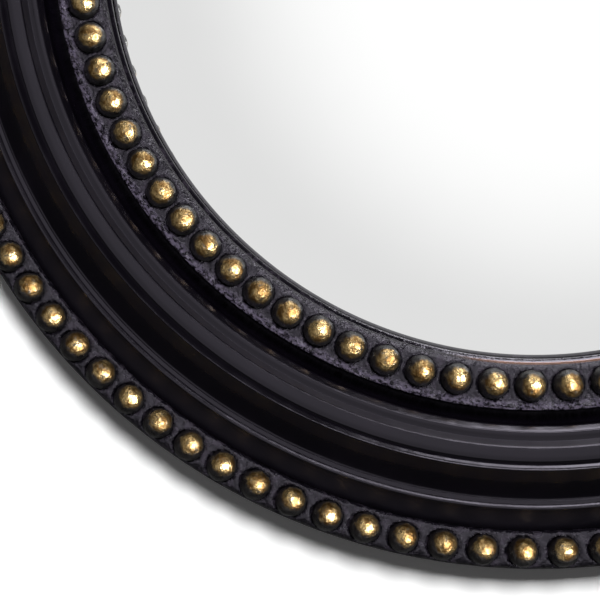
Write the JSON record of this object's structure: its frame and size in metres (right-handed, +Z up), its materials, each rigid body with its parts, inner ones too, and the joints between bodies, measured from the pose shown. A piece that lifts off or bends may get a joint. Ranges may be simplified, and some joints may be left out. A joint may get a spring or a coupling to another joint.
{
  "type": "convex wall mirror",
  "caption": "Round wall mirror with a domed glass, a wide black turned frame, and an inner and an outer ring of gilded beads; ring hangers and wall pads at the back.",
  "frame": {"origin": "the point of the wall behind the middle of the ring", "axes": "+Y into the wall, +Z up, +X to the viewer's right; the glass faces -Y"},
  "size_m": [0.5, 0.0462, 0.5],
  "materials": {
    "black_lacquer": "semi-gloss black lacquer on wood",
    "gilding": "rubbed gold leaf over black on wooden beads",
    "silvered_glass": "polished, silvered on the back",
    "gasket_rubber": "soft black strip",
    "raw_wood": "unpainted wood",
    "hardboard": "brown pressed board",
    "zinc_steel": "zinc-plated steel",
    "pad_rubber": "matt rubber"
  },
  "bodies": {
    "frame": {"main_moulding": "black_lacquer", "outer_bead_rail": "black_lacquer", "outer_beads": "gilding", "inner_bead_rail": "black_lacquer", "inner_beads": "gilding", "convex_glass": "silvered_glass", "glazing_gasket": "gasket_rubber", "glass_retainer": "raw_wood", "backing_board": "hardboard", "backing_screws": "zinc_steel", "hanger_strap_left": "zinc_steel", "hanger_strap_right": "zinc_steel", "hanger_screws": "zinc_steel", "bumper_upper_left": "pad_rubber", "bumper_upper_right": "pad_rubber", "bumper_lower_left": "pad_rubber", "bumper_lower_right": "pad_rubber"},
    "left_ring": {"d_ring_left": "zinc_steel"},
    "right_ring": {"d_ring_right": "zinc_steel"}
  },
  "joints": [
    {"name": "left_ring_swing", "type": "hinge", "parent": "frame", "child": "left_ring", "pos_m": [-0.16164, -0.00245, 0.13563], "axis": [1, 0, 0], "range_deg": [0, 180]},
    {"name": "right_ring_swing", "type": "hinge", "parent": "frame", "child": "right_ring", "pos_m": [0.16164, -0.00245, 0.13563], "axis": [1, 0, 0], "range_deg": [0, 180]}
  ]
}
